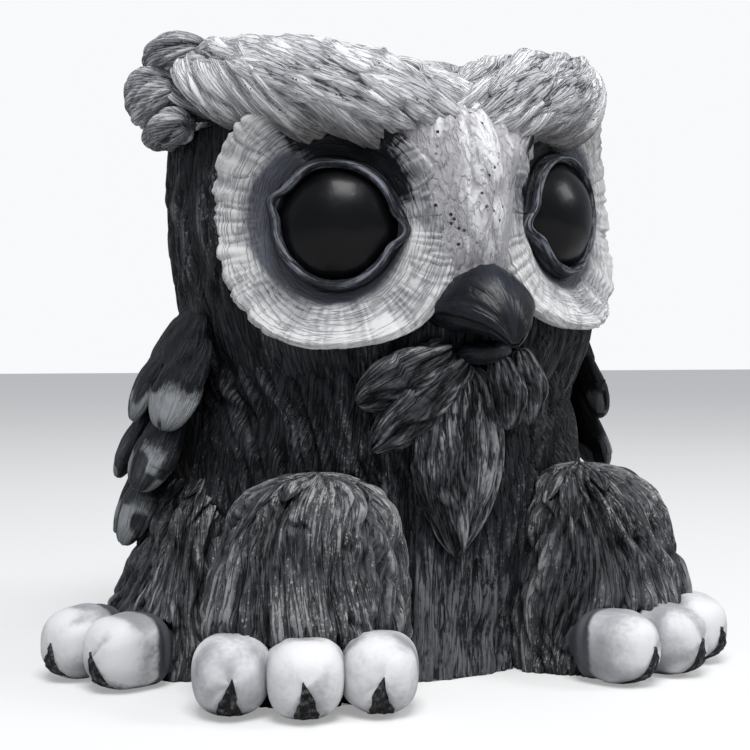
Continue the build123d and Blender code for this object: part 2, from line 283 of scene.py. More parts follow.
# %% Write a piece
def make_piece(name, tubes, nodes, material):
    """One mesh of one or more tubes, which stands for CAD nodes and rides on the figure."""
    counts = np.cumsum([0] + [len(part["points"]) for part in tubes])
    points = np.concatenate([part["points"] for part in tubes]) * MM
    faces = np.concatenate([part["faces"] + base for part, base in zip(tubes, counts)])
    mesh = bpy.data.meshes.new(name)
    mesh.vertices.add(len(points))
    mesh.vertices.foreach_set("co", points.ravel())
    mesh.loops.add(faces.size)
    mesh.loops.foreach_set("vertex_index", faces.ravel().astype(np.int32))
    mesh.polygons.add(len(faces))
    mesh.polygons.foreach_set("loop_start", np.arange(len(faces), dtype=np.int32) * 4)
    mesh.update(calc_edges=True)
    for key in ("crest", "zone"):
        values = np.concatenate([part[key] for part in tubes])
        mesh.attributes.new(key, "FLOAT", "POINT").data.foreach_set("value", values)
    grain = np.concatenate([part["grain"] for part in tubes])
    mesh.attributes.new("grain", "FLOAT_VECTOR", "POINT").data.foreach_set("vector", grain.ravel())
    mesh.shade_smooth()
    mesh.materials.append(material)
    piece = bpy.data.objects.new(name, mesh)
    bpy.context.scene.collection.objects.link(piece)
    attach(piece, "root")
    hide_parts(*nodes)
    print(name, "triangles", 2 * len(faces))
    return piece


# %% [markdown]
# ## Paint
# The figure is painted dark first, and pale paint is dragged over it with a nearly dry
# brush, so it catches only on ridges. Each finish mixes three colours by the crest
# attribute, roughened by noise so that the paint's edge is ragged. Noise stretched along
# the grain gives hair lines finer than the mesh, in colour and in bump. Pin holes from
# casting are small dark dots.
# Some finishes also have a zone colour. It is painted shade in the eye sockets, under the brows, where
# the legs' hems step back, on the toes and in the face discs beside the lids. On the feathers' tips and
# the discs' nose side it is a second paint colour, and it makes the nose bridge greyer low on its
# flanks.

# %% Node helpers
class Paint:
    """A material's nodes, with short calls for the few kinds that the finishes use."""

    def __init__(self, name, roughness, specular=0.22):
        self.material = bpy.data.materials.new(name)
        self.material.use_nodes = True
        self.nodes = self.material.node_tree.nodes
        self.links = self.material.node_tree.links
        self.shader = self.nodes["Principled BSDF"]
        self.shader.inputs["Roughness"].default_value = roughness
        self.shader.inputs["Specular IOR Level"].default_value = specular

    def node(self, kind, inputs=(), **settings):
        """A node with its settings, and inputs given as values or as sockets."""
        node = self.nodes.new(kind)
        for key, value in settings.items():
            setattr(node, key, value)
        for key, value in dict(inputs).items():
            if isinstance(value, bpy.types.NodeSocket):
                self.links.new(value, node.inputs[key])
            else:
                node.inputs[key].default_value = value
        return node

    def attribute(self, name):
        return self.node("ShaderNodeAttribute", attribute_name=name)

    def math(self, operation, first, second=0.0, clamp=False):
        inputs = {0: first, 1: second}
        return self.node("ShaderNodeMath", inputs, operation=operation, use_clamp=clamp).outputs[0]

    def ramp(self, value, low, high):
        """0 below low to 1 above high, eased at both ends."""
        inputs = {"Value": value, "From Min": low, "From Max": high}
        return self.node("ShaderNodeMapRange", inputs, interpolation_type="SMOOTHSTEP").outputs[0]

    def mix(self, factor, first, second):
        """Blend of two colours. A colour is three numbers or a socket."""
        inputs = {0: factor, 6: self.colour(first), 7: self.colour(second)}
        return self.node("ShaderNodeMix", inputs, data_type="RGBA").outputs[2]

    def colour(self, value):
        return value if isinstance(value, bpy.types.NodeSocket) else (*value, 1.0)

    def cloud(self, scale, detail=4.0, vector=None):
        """Noise on Object coordinates, or on another vector."""
        if vector is None:
            vector = self.node("ShaderNodeTexCoord").outputs["Object"]
        inputs = {"Vector": vector, "Scale": scale, "Detail": detail}
        return self.node("ShaderNodeTexNoise", inputs).outputs["Fac"]

    def hair(self, width, length):
        """Noise stretched along the grain attribute."""
        size = (1 / width, 1 / length, 1.0)
        inputs = {"Vector": self.attribute("grain").outputs["Vector"], "Scale": size}
        stretched = self.node("ShaderNodeMapping", inputs, vector_type="POINT").outputs[0]
        return self.cloud(1.0, 3.0, stretched)

    def dots(self, scale, size):
        """1 inside small scattered dots, 0 outside."""
        vector = self.node("ShaderNodeTexCoord").outputs["Object"]
        cells = self.node("ShaderNodeTexVoronoi", {"Vector": vector, "Scale": scale})
        return self.math("SUBTRACT", 1.0, self.ramp(cells.outputs["Distance"], size * 0.6, size))

    def finish(self, colour, height, depth):
        """Set the colour, and bump from a height of 0 to 1 that is depth millimetres."""
        self.links.new(colour, self.shader.inputs["Base Color"])
        inputs = {"Height": height, "Distance": depth * MM, "Strength": 1.0}
        bump = self.node("ShaderNodeBump", inputs)
        self.links.new(bump.outputs[0], self.shader.inputs["Normal"])
        return self.material


# %% Dry-brushed paint
# Noise scales, in cells per metre.
GRIT, PATCHES, DUST, PIN_HOLES, HOLE_AREAS = 1400.0, 110.0, 2600.0, 900.0, 240.0


def dry_brushed(name, groove, face, ridge, catch=(0.7, 1.0), cover=(0.2, 0.8), shade_and_tone=None,
                speck=None, pits=0.0, roughness=0.5, depth=0.14, hair=(0.3, 3.0), ragged=0.5,
                patchy=0.35, score=0.35):
    """Groove, face and ridge colours by the crest attribute. cover and catch are the crest ranges over
    which the face and the ridge colours come in. The colour given for the zone is painted shade in
    hollows and under overhangs on some pieces, and a second paint colour on others. speck is a dust
    colour, pits a hole's size, depth the bump in millimetres and hair a hair's width and length. ragged,
    patchy and score say how much fine noise, broad noise and scratches move the paint's edge."""
    paint = Paint(name, roughness)
    crest = paint.attribute("crest").outputs["Fac"]
    zone = paint.attribute("zone").outputs["Fac"]
    fine = paint.math("SUBTRACT", paint.hair(*hair), 0.5)
    broad_hair = paint.math("SUBTRACT", paint.hair(2.2 * hair[0], 2.4 * hair[1]), 0.5)
    scratch = paint.ramp(paint.math("ABSOLUTE", broad_hair), 0.0, 0.07)
    grit = paint.math("SUBTRACT", paint.cloud(GRIT, 3.0), 0.5)
    patch = paint.math("SUBTRACT", paint.cloud(PATCHES, 3.0), 0.5)
    rough = paint.math("ADD", fine, grit)
    uneven = paint.math("ADD", crest, paint.math("MULTIPLY", rough, ragged))
    scored = paint.math("MULTIPLY", paint.math("SUBTRACT", scratch, 1.0), score)
    uneven = paint.math("ADD", uneven, scored)
    colour = paint.mix(paint.ramp(uneven, *cover), groove, face)
    brushed = paint.math("ADD", uneven, paint.math("MULTIPLY", patch, patchy))
    colour = paint.mix(paint.ramp(brushed, *catch), colour, ridge)
    # The zone colour: painted shade where a piece marks a hollow or an underside as its zone, a second
    # paint colour where it marks paint.
    if shade_and_tone is not None:
        shade_and_tone_mask = paint.math("ADD", zone, paint.math("MULTIPLY", paint.math("ADD", rough, patch), 0.5))
        colour = paint.mix(paint.ramp(shade_and_tone_mask, 0.2, 0.8), colour, shade_and_tone)
    if speck is not None:
        dust = paint.math("ADD", paint.cloud(DUST, 2.0), paint.math("MULTIPLY", patch, 0.5))
        dusty = paint.math("MULTIPLY", paint.ramp(dust, 0.60, 0.72), paint.ramp(uneven, 0.4, 0.9))
        colour = paint.mix(dusty, colour, speck)
    height = paint.math("ADD", fine, paint.math("MULTIPLY", grit, 0.6))
    height = paint.math("ADD", height, paint.math("MULTIPLY", scratch, 4.0 * score))
    if pits:
        where = paint.ramp(paint.cloud(HOLE_AREAS), 0.5, 0.6)
        holes = paint.math("MULTIPLY", paint.dots(PIN_HOLES, pits), where)
        colour = paint.mix(holes, colour, tuple(0.3 * part for part in groove))
        height = paint.math("SUBTRACT", height, paint.math("MULTIPLY", holes, 2.0))
    return paint.finish(colour, height, depth)


# %% The finishes
# The dark fur's zone colour is painted shade: a near black laid in the eye sockets.
fur_paint = dry_brushed(
    "dark_fur", (0.0024, 0.0027, 0.0037), (0.020, 0.0215, 0.026), (0.125, 0.13, 0.14),
    catch=(0.8, 1.25), shade_and_tone=(0.002, 0.0023, 0.005), speck=(0.13, 0.13, 0.13), roughness=0.45)
# The leg fur's zone colour is painted shade, laid where the hem steps back over the toes.
leg_paint = dry_brushed(
    "leg_fur", (0.006, 0.0065, 0.008), (0.062, 0.064, 0.070), (0.25, 0.255, 0.26),
    catch=(0.68, 1.15), cover=(0.1, 0.7), shade_and_tone=(0.012, 0.013, 0.016), speck=(0.36, 0.35, 0.33),
    roughness=0.55)
# The white plumes' zone colour is a darker grey, painted as shade under the brow rolls.
plume_paint = dry_brushed(
    "white_plume", (0.07, 0.07, 0.078), (0.42, 0.42, 0.44), (0.68, 0.68, 0.69), catch=(0.4, 0.85),
    cover=(-0.05, 0.32), shade_and_tone=(0.17, 0.165, 0.165), pits=0.13, roughness=0.6, hair=(0.22, 1.8),
    ragged=0.4)
tuft_paint = dry_brushed(
    "ear_tuft", (0.03, 0.03, 0.034), (0.22, 0.22, 0.24), (0.52, 0.52, 0.53), catch=(0.5, 1.0),
    cover=(0.05, 0.45), pits=0.12, roughness=0.6, hair=(0.22, 1.8))
# The face disc's zone colour is painted shade beside the lid, and the dish's grey-lilac paint on the
# nose side. Its near-black groove colour also lies under the brow as painted shadow.
disc_paint = dry_brushed(
    "face_disc", (0.003, 0.0035, 0.006), (0.32, 0.32, 0.335), (0.59, 0.59, 0.585),
    catch=(0.75, 1.25), shade_and_tone=(0.10, 0.103, 0.125), roughness=0.6, depth=0.1, ragged=0.4,
    score=0.25)
bridge_paint = dry_brushed(
    "nose_bridge", (0.09, 0.09, 0.10), (0.37, 0.36, 0.38), (0.65, 0.65, 0.66), catch=(0.55, 0.95),
    cover=(0.0, 0.4), shade_and_tone=(0.14, 0.14, 0.16), pits=0.24, roughness=0.6, hair=(0.5, 1.4),
    score=0.18)
lid_paint = dry_brushed(
    "eyelid", (0.004, 0.0045, 0.006), (0.026, 0.028, 0.036), (0.18, 0.19, 0.22), catch=(0.7, 1.2),
    roughness=0.45, depth=0.08)
beard_paint = dry_brushed(
    "beard", (0.003, 0.003, 0.004), (0.058, 0.060, 0.067), (0.30, 0.31, 0.32), catch=(0.6, 1.1),
    cover=(0.15, 0.7), shade_and_tone=(0.012, 0.013, 0.017), roughness=0.5, patchy=0.3, hair=(0.22, 2.4))
feather_paint = dry_brushed(
    "wing_feather", (0.004, 0.0045, 0.006), (0.022, 0.024, 0.030), (0.11, 0.11, 0.12),
    catch=(0.75, 1.3), shade_and_tone=(0.26, 0.27, 0.28), roughness=0.5)
# The toes' zone colour is painted shade at each toe's back under the fur, along its underside and at the
# back of its sides.
toe_paint = dry_brushed(
    "toe", (0.30, 0.30, 0.315), (0.50, 0.50, 0.52), (0.68, 0.68, 0.69), catch=(0.4, 0.95),
    shade_and_tone=(0.075, 0.077, 0.088), roughness=0.55, depth=0.07, hair=(2.4, 2.4), ragged=0.35,
    patchy=1.1, score=0.03)
claw_paint = dry_brushed(
    "claw", (0.014, 0.014, 0.015), (0.070, 0.070, 0.073), (0.22, 0.22, 0.22), catch=(0.7, 1.2),
    speck=(0.32, 0.32, 0.32), roughness=0.65, depth=0.2, hair=(0.3, 0.5))
beak_paint = dry_brushed(
    "beak", (0.005, 0.0055, 0.0075), (0.015, 0.017, 0.024), (0.07, 0.075, 0.092),
    catch=(0.85, 1.4), roughness=0.33, depth=0.05, hair=(0.8, 2.5), score=0.15)
print("finishes", len(bpy.data.materials))

# %% [markdown]
# The eyes are the only glossy things: black balls under a thick clear varnish. The varnish
# is the shader's coat, over a slightly uneven black.

# %% Eye varnish
eye_coat = Paint("eye_black", 0.3, 0.17)
for socket, value in {"Coat Weight": 0.05, "Coat Roughness": 0.12}.items():
    eye_coat.shader.inputs[socket].default_value = value
eye_black = eye_coat.mix(eye_coat.cloud(160.0), (0.0015, 0.0015, 0.002), (0.004, 0.004, 0.005))
eye_paint = eye_coat.finish(eye_black, eye_coat.cloud(330.0), 0.09)

# %% [markdown]
# ## Body and head
# Both are upright barrels with ellipses for rings. The fur runs down them. On the chest
# the strokes lean in towards the beard, so the across coordinate is squeezed there: a line
# of equal across then comes nearer to the middle as it goes down.

# %% Barrel points
def turns(columns):
    """Bearings of a ring's points as a row, from -180 to 180 degrees, 0 at the front."""
    return np.linspace(-np.pi, np.pi, columns, endpoint=False)[None, :]


def rings(rows, first=0.0, last=1.0):
    """Evenly spaced values as a column, one for each ring."""
    return np.linspace(first, last, rows)[:, None]


def ellipse_point(bearing, wide, deep, height):
    """(wide sin b, -deep cos b, height), which is bearing b on an ellipse."""
    return grid_points(wide * np.sin(bearing), -deep * np.cos(bearing), height)


# %% The body
body_rows, body_columns = 130, 600
heights = rings(body_rows, 0.0, body_high[2] + 1.0)
STROKE_TOP = 0.85  # the stroke value that stays on the CAD surface; grooves go below it
BODY_RELIEF, HEAD_RELIEF = 2.3, 1.9
# Height, how far the barrel's radius shrinks, and how far its axis leans forward.
body_profile = np.array([(0, 1.8, 0), (14, 0.2, 0), (28, 0, 0), (40, 0.9, 1.6), (51, 3.4, 4.8)])
inset = np.interp(heights, body_profile[:, 0], body_profile[:, 1])
lean = np.interp(heights, body_profile[:, 0], body_profile[:, 2])
bearing = turns(body_columns)
girth = 2 * np.pi * body_wide
squeeze = 0.75 * smooth(50 - heights, 0, 28) - 0.25 * smooth(22 - heights, 0, 22)
flow = bearing + squeeze * np.sin(bearing) * (0.5 + 0.5 * np.cos(bearing)) ** 2
ridges = fur(flow * body_wide, heights, 3, girth)
shoulder = 1.4 * smooth(heights, 26, 40)
skin = BODY_RELIEF * (ridges - STROKE_TOP)
wide, deep = body_wide - inset - shoulder + skin, body_deep - inset + skin
body_points = ellipse_point(bearing, wide, deep, heights)
body_points[..., 1] += body_y - lean
# The crest is raised towards the bottom, so the lower body is paler.
paler_low_body = 0.6 * smooth(24 - heights, 0, 20)
make_piece("body_fur", [tube(body_points, ridges + paler_low_body, 0.0, (bearing * body_wide, heights))],
           ["body"], fur_paint)

# %% [markdown]
# The head's barrel sinks in round each eye. That hollow is what puts the eye in shadow under the brow,
# and it is also painted darker as shade. Its depth is a smooth bump of the distance from the eye's
# middle.

# %% The head
def on_head(bearing, standoff, height):
    """Point at a standoff from the head's barrel, in the head's frame."""
    return ellipse_point(bearing, head_wide + standoff, head_deep + standoff, height)


head_rows, head_columns = 110, 600
rise = rings(head_rows, -29.0, 15.0)
SOCKET_RADIUS, SOCKET_DEPTH = 16.0, 5.8
# Height from the eyes, and how far the barrel's sides and its front are set in.
head_profile = np.array([(-29, 9.0, 11.0), (-24, 5.2, 7.0), (-20, 3.1, 4.3), (-17.5, 2.3, 3.3),
                         (-9.5, 0.5, 1.5), (-1.5, 0, 0), (6.5, 0, 0.5), (13.5, 1.0, 3.0),
                         (16, 1.5, 3.8)])
side_inset = np.interp(rise, head_profile[:, 0], head_profile[:, 1])
front_inset = np.interp(rise, head_profile[:, 0], head_profile[:, 2])
bearing = turns(head_columns)
girth = 2 * np.pi * head_wide
ridges = fur(bearing * head_wide, rise, 57, girth)
from_eye = np.hypot((np.abs(bearing) - eye_bearing) * head_wide, rise - 1.0)
socket = smooth(SOCKET_RADIUS - from_eye, 0, 7)
skin = HEAD_RELIEF * (ridges - STROKE_TOP) * (1 - 0.8 * socket) - SOCKET_DEPTH * socket
wide = head_wide - side_inset + skin
deep = head_deep - front_inset + skin
head_points = from_head(ellipse_point(bearing, wide, deep, rise))
# Painted shade: the socket hollow is the zone, which the dark fur finish fills with near black, and the
# crest is lowered there so that less pale paint lands in it.
make_piece("head_fur", [tube(head_points, ridges * (1 - 0.6 * socket), socket,
                             (bearing * head_wide, rise))], ["head"], fur_paint)

# %% [markdown]
# ## Eyes, lids and face discs
# Each eye is a ball. Its lid is a rolled string of clay pressed round it, with two pinched
# corners: one outwards and up, one towards the beak. The face disc is a crescent that
# rises from the lid to a ribbed rim. Both follow angles about the eye, where 0 points
# outwards and 90 points up.

# %% Eye directions
eye_facing = np.radians(30.0)
eye_sunk = 5.2


def eye_axes(side):
    """Outward, up and forward directions of an eye, in the room's frame."""
    ahead = np.array([side * np.sin(eye_facing), -np.cos(eye_facing), 0.0])
    out = np.array([side * np.cos(eye_facing), np.sin(eye_facing), 0.0])
    return out @ head_axes, head_z, ahead @ head_axes


def around_eye(side, angle, radius, forward):
    """Eye centre + radius (cos a out + sin a up) + forward ahead."""
    out, up, ahead = eye_axes(side)
    parts = np.broadcast_arrays(angle, radius, forward)
    angle, radius, forward = (part[..., None] for part in parts)
    return eyes[side] + radius * (np.cos(angle) * out + np.sin(angle) * up) + forward * ahead


# %% Eyeballs
def make_eye(side):
    """Ball as rings about the way it looks, set back so that a low dome of it shows."""
    polar = rings(64, 0.01, np.pi - 0.01)
    angle = turns(90)
    flat = np.sin(polar) * 3
    uneven = 0.12 * noise(flat * np.cos(angle) + 7, flat * np.sin(angle) + 7, 5)
    radius = eye_radius - 0.1 + uneven
    points = around_eye(side, angle, radius * np.sin(polar), radius * np.cos(polar) - eye_sunk)
    make_piece(f"eyeball_{SIDES[side]}", [tube(points, 0.5)], [f"eye_{SIDES[side]}"],
               eye_paint)


def bump_at(angle, centre, width):
    """Bell of the shortest way round from a centre angle, both in degrees."""
    gap = (np.degrees(angle) - centre + 180) % 360 - 180
    return bell(gap, width)


# %% Lids
def make_lid(side):
    """Closed loop of rings: the path's radius is a circle's plus a corner at each end."""
    angle = turns(260).T
    turn = turns(40)
    corner = 0.75 * bump_at(angle, 24, 10) + 0.85 * bump_at(angle, 190, 11)
    wobble = noise(angle * 4 / np.pi + 9, angle * 0, 31 + side, 8) - 0.5
    radius = 7.75 + 1.7 * corner + 0.3 * bump_at(angle, 75, 14) + 0.4 * wobble
    forward = 0.7 - 0.9 * corner + 0.4 * wobble
    half_wide = 0.55 + 0.15 * wobble - 0.1 * corner
    creases = strokes(turn * 1.2, angle * 8, 0.9, 6, 77 + side, 7.5)
    radial = radius + (half_wide + 0.1 * creases) * np.cos(turn)
    skirt = 0.9 * np.clip(np.cos(turn), 0, 1) * np.clip(-np.sin(turn), 0, 1)
    points = around_eye(side, angle, radial + skirt, forward + 1.25 * np.sin(turn))
    crest = 0.3 + 0.4 * np.sin(turn) + 0.5 * creases
    make_piece(f"eyelid_ring_{SIDES[side]}", [tube(points, crest, 0.0, None, True)],
               [f"eyelid_{SIDES[side]}"], lid_paint)


# %% Face discs
DISC_HOLE, DISC_MEAN = 8.6, 16
# Angle about the eye in degrees, and the rim's distance from it.
RIM = np.array([(-180, 16.6), (-152, 18.2), (-130, 18.0), (-105, 16.5), (-90, 16.0),
                (-45, 16.7), (0, 17.3), (30, 18.2), (50, 18.3), (84, 16.4), (130, 15.0),
                (180, 16.6)]).T
# Place on a ring, reach from the hole (0) to the rim (1), and standoff from the head.
DISH = np.array([(0.0, 0.0, -6.5), (0.06, 0.02, -3.9), (0.26, 0.30, -2.2), (0.48, 0.68, -0.2),
                 (0.6, 0.9, 0.9), (0.67, 1.0, 0.5), (0.76, 0.98, -1.2), (0.9, 0.5, -7.5),
                 (1.0, 0.0, -6.5)]).T


def make_disc(side):
    """Dish as a loop of rings. A ring runs from the lid out to the rim and back underneath. Ribs cross
    the rim on its outer side. The part under the brow is sunk and painted near black as the brow's
    shadow, and the rim sinks on the nose side, where the bridge covers it. Beside the lid the dish is
    painted with shade."""
    degrees = np.linspace(-180, 180, 440, endpoint=False)[:, None]
    angle = np.radians(degrees)
    rim = np.interp(degrees, *RIM)
    place = np.linspace(0, 1, 70, endpoint=False)[None, :]
    reach = np.interp(place, DISH[0], DISH[1])
    lift = np.interp(place, DISH[0], DISH[2])
    distance = DISC_HOLE + (rim - DISC_HOLE) * reach
    on_face = smooth(place, 0.08, 0.3) * smooth(0.73 - place, 0, 0.05)
    outer = 0.12 + 0.88 * bump_at(angle, 5, 50)
    girth = 2 * np.pi * DISC_MEAN
    rib = strokes(angle * DISC_MEAN, distance, 1.5, 9, 91 + side, girth)
    fine = strokes(angle * DISC_MEAN, distance, 0.8, 5, 95 + side, girth)
    broad = noise(angle * 14 / np.pi + 28, distance / 4, 17 + side, 28) - 0.5
    ribbed = smooth(reach, 0.5, 0.85) * outer
    carve = 0.6 * (rib - 0.8) * ribbed + 0.3 * (fine - 0.8) * smooth(reach, 0.2, 0.6) + 0.9 * broad
    carve = carve * on_face
    notch = 0.55 * (rib - 0.8) * smooth(reach, 0.85, 1.0) * outer
    turn = eye_bearing + (distance + notch) * np.cos(angle) / head_wide
    height = (distance + notch) * np.sin(angle)
    nose_side = bump_at(angle, 170, 40)
    brow_side = bump_at(angle, 118, 46)
    over = brow_side**0.5 * smooth(brow_side, 0.15, 0.35)
    over = over * (1 - bump_at(angle, 165, 30) * smooth(reach, 0.35, 0.6))
    lift = lift - 2.6 * over * smooth(place, 0.05, 0.4) * (1 - bump_at(angle, 158, 22))
    lift = lift - 1.3 * nose_side * smooth(reach, 0.5, 1.0) + carve
    points = from_head(on_head(side * turn, lift, height))
    band = 0.16 + 0.26 * bump_at(angle, 10, 50)
    # Painted shade: the dish next to the lid is the zone. On the nose side the zone is the dish's
    # grey-lilac paint.
    shade_by_lid = smooth(band + 0.25 - reach, 0, 0.35)
    zone = np.clip(shade_by_lid + 0.55 * nose_side * smooth(reach, 0.3, 0.6), 0, 1)
    crest = 0.95 + 0.35 * (rib - 0.5) * ribbed + 0.2 * (fine - 0.5) + 0.5 * broad
    # Painted shadow: under the brow the crest is lowered and the zone taken away, so that the near-black
    # groove colour lies there.
    crest = crest + 0.15 * smooth(reach, 0.5, 0.9) - 1.3 * over
    zone = zone * (1 - np.clip(over, 0, 1))
    piece = tube(points, crest, zone, (distance, angle * DISC_MEAN), True)
    make_piece(f"disc_{SIDES[side]}", [piece], [f"face_disc_{SIDES[side]}"], disc_paint)


for side in SIDES:
    make_eye(side)
    make_lid(side)
    make_disc(side)

# %% [markdown]
# ## Plumes
# Brows, locks, feathers, whiskers and the beard are all one form: a flattened tube along
# a curved path, wide in the middle and narrow at its tip. A lock is a plume whose path is
# drawn on a surface, as clay is laid on clay, by a bearing and a height.

# %% Plumes and locks
def plume(path, beside, wide, thick, seed, columns=40, size=1.0, depth=0.5, slant=0.0,
          zone=0.0, pale=0.0):
    """Tube with half widths along beside and half thicknesses across it. Its strokes run
    along it, or wind round it where slant isn't 0."""
    path = np.asarray(path, float)
    ahead = unit(np.gradient(path, axis=0))
    beside = unit(beside - (beside * ahead).sum(-1, keepdims=True) * ahead)
    up = np.cross(ahead, beside)[:, None]
    turn = turns(columns)
    wide = np.broadcast_to(wide, len(path))[:, None]
    thick = np.broadcast_to(thick, len(path))[:, None]
    points = path[:, None] + (wide * np.cos(turn))[..., None] * beside[:, None]
    points = points + (thick * np.sin(turn))[..., None] * up
    steps = np.linalg.norm(np.diff(path, axis=0), axis=-1)
    along = np.concatenate([[0], np.cumsum(steps)])[:, None]
    girth = 2 * np.pi * np.sqrt((wide**2 + thick**2) / 2)
    across = turn / (2 * np.pi) * girth.max()
    ridges = fur(across - slant * along, along, seed, girth.max(), size)
    fade = (girth / girth.max()) ** 0.7
    points = points + normals(points) * (depth * (ridges - 0.55) * fade)[..., None]
    return tube(points, ridges + pale, zone, (across, along))


def lock(surface, start, end, wide, thick, seed, sway=0.0, stand=(0.0, 0.0, 0.0),
         shape=(0.45, 0.4, 0.8), rows=40, **more):
    """Plume laid on a surface(bearing, standoff, height) from start to end, each a bearing
    in degrees and a height. stand is its standoff at its root, middle and tip."""
    share = np.linspace(0, 1, rows)
    bearing = np.radians(start[0] + (end[0] - start[0]) * share + sway * np.sin(np.pi * share))
    height = start[1] + (end[1] - start[1]) * share
    stand = np.interp(share, (0, 0.5, 1), stand)
    path = surface(bearing, stand, height)
    beside = surface(bearing + 0.02, stand, height) - path
    width = wide * outline(share, *shape)
    depth = thick * outline(share, shape[0], shape[1], 0.6)
    return plume(path, beside, width, depth, seed, **more)


# %% The body as a surface to lay plumes on
def body_surface(bearing, standoff, height):
    """Point on the body, in the room's frame."""
    into = np.interp(height, body_profile[:, 0], body_profile[:, 1])
    back = np.interp(height, body_profile[:, 0], body_profile[:, 2])
    wide, deep = body_wide - into + standoff, body_deep - into + standoff
    points = ellipse_point(bearing, wide, deep, height)
    points[..., 1] += body_y - back
    return points


# %% [markdown]
# ## Crown and brows
# The crown is a low dome whose feathers lie backwards. Each brow is one thick roll from
# the middle of the forehead to the ear, wound with strokes that climb from its lower edge,
# and broad plumes overlap along its top and sweep out from the V between the eyes.

# %% The crown
CROWN_FOOT, CROWN_TALL = 12.0, 11.0
rim_wide, rim_deep = head_wide - 1.5, head_deep - 3.0
# Rearward place of each row of plumes, and how many it has.
CROWN_ROWS = ((-12, 7), (-2, 8), (8, 7), (18, 5))


def make_crown():
    """Dome: rings shrink by a quarter circle while they rise by CROWN_TALL."""
    share = rings(110, 0, 0.999)
    bearing = turns(280)
    in_by = 1 - np.cos(share * np.pi / 2)
    wide, deep = (head_wide - 3.6) * (1 - in_by), (head_deep - 4.8) * (1 - in_by)
    height = CROWN_FOOT + CROWN_TALL * np.sin(share * np.pi / 2) ** 0.8
    points = ellipse_point(bearing, wide, deep, height)
    ridges = fur(points[..., 0], points[..., 1], 205, 0.0, 1.5)
    fan = fur(points[..., 0] + 6 * np.sin(points[..., 1] / 9), points[..., 1], 213, 0.0, 2.4)
    ridges = 0.5 * ridges + 0.5 * fan
    points[..., 2] += 1.6 * (ridges - 0.5) * smooth(share, 0.02, 0.2)
    return tube(from_head(points), ridges, 0.0, (points[..., 0], points[..., 1]))


crown = [make_crown()]
plumes = np.random.default_rng(8)
for row, (rear, count) in enumerate(CROWN_ROWS):
    for number in range(count):
        slide = (number - (count - 1) / 2) * 52 / count + plumes.uniform(-1.5, 1.5)
        start = np.array([0.78 * slide, rear - 4.0, 0])
        end = np.array([1.08 * slide, rear + 10.0, 0])
        share = rings(30)
        flat = start + (end - start) * share
        edge = np.hypot(flat[:, 0] / rim_wide, flat[:, 1] / rim_deep)
        flat[:, :2] *= np.minimum(1, 1.01 / np.maximum(edge, 0.01))[:, None]
        dome = CROWN_FOOT + CROWN_TALL * np.clip(1 - edge**2, 0, 1) ** 0.4
        dome = dome - 9.0 * np.clip(edge - 1, 0, 1)
        flat[:, 2] = dome - 0.2 + 1.0 * share[:, 0]
        width = (4.1 + plumes.uniform(-0.4, 0.5)) * outline(share[:, 0], 0.55, 0.35, 0.5)
        depth = 1.5 * outline(share[:, 0], 0.6, 0.4, 0.5)
        crown.append(plume(from_head(flat), head_x, width, depth, 300 + 10 * row + number, 32, 1.1, 0.6))
make_piece("crown_plumes", crown, ["crown_feathers"], plume_paint)

# %% Brows
# Bearing in degrees, then the roll's height, standoff, half height and half thickness.
BROW = np.array([(-7, 11.6, -6.4, 5.6, 4.4), (0, 12.2, -5.8, 6.2, 5.0), (22, 15.2, -5.0, 6.4, 6.2),
                 (45, 18.2, -4.6, 6.6, 6.2), (66, 20.0, -4.0, 5.9, 5.5), (84, 20.6, -2.8, 4.2, 4.2),
                 (93, 20.6, -2.6, 1.2, 1.2)])
# How far the outer half of a brow and its ear tufts sag.
SLUMP = {1: 3.0, -1: 0.0}
# First bearing, angle round the roll, pitch, half width, length and count of plumes.
BROW_ROWS = ((-4, 0, 17, 2.6, 30, 3), (6, 48, 15, 2.8, 28, 4), (0, 92, 11, 3.5, 20, 7),
             (20, 128, 11, 3.4, 17, 5))


def brow_surface(side):
    """Surface of a brow: the bearing runs along it, and height is the angle round it in
    degrees, from 0 outwards through 90 at its top to 180 inwards."""
    def surface(bearing, standoff, height):
        bearing_deg = np.degrees(bearing)
        columns = (np.interp(bearing_deg, BROW[:, 0], BROW[:, n]) for n in (1, 2, 3, 4))
        rise, stand, tall, thick = columns
        rise = rise - SLUMP[side] * smooth(bearing_deg, 15, 60)
        angle = np.radians(height)
        out = stand + (thick + standoff) * np.cos(angle)
        up = rise + (tall + standoff) * np.sin(angle)
        return from_head(on_head(side * bearing, out, up))
    return surface


